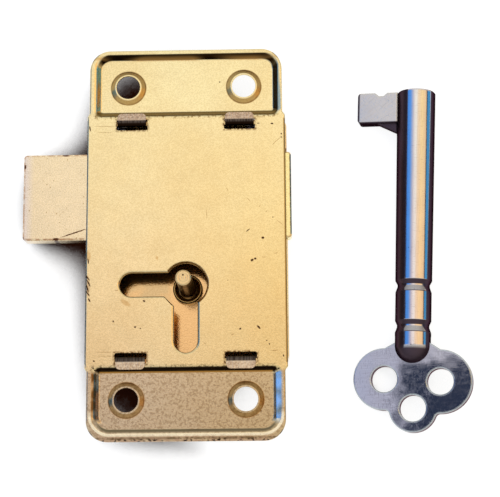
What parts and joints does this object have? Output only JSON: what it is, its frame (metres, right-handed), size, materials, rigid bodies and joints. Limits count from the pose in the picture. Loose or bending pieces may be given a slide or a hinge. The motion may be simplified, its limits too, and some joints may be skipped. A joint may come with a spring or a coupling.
{
  "type": "cabinet lock",
  "caption": "Surface-mounted pressed-steel cabinet lock with a sliding bolt, a pin keyhole with side and lower slots, and a loose barrel key beside it.",
  "frame": {"origin": "centre of the case's flat back, the face that it lies on", "axes": "+X across the plate to the side away from the thrown bolt, +Y up the plate, +Z out of the face that goes against the door"},
  "size_m": [0.0912, 0.0811, 0.0159],
  "materials": {
    "brass_plate": "satin brass-plated steel",
    "brass_bolt": "satin brass-plated bar",
    "brass_post": "turned brass",
    "bare_steel": "bright turned steel",
    "spring_steel": "blued strip",
    "key_nickel": "bright nickel plate"
  },
  "bodies": {
    "lock_case": {"cover_plate": "brass_plate", "case_box": "brass_plate", "guide_stud": "bare_steel", "detent_spring": "spring_steel", "spring_studs": "bare_steel", "key_post": "brass_post", "post_collar": "brass_post", "ward_ring": "brass_plate"},
    "bolt": {"bolt": "brass_bolt"},
    "key": {"key_barrel": "key_nickel", "key_bit": "key_nickel", "key_bow": "key_nickel"}
  },
  "joints": [
    {"name": "bolt_slide", "type": "slide", "parent": "lock_case", "child": "bolt", "axis": [1, 0, 0], "range_m": [0, 0.0127], "deforming": ["detent_spring"]},
    {"name": "key_lift", "type": "slide", "parent": "lock_case", "child": "key", "axis": [0, 0, 1], "range_m": [0, 0.05]}
  ]
}
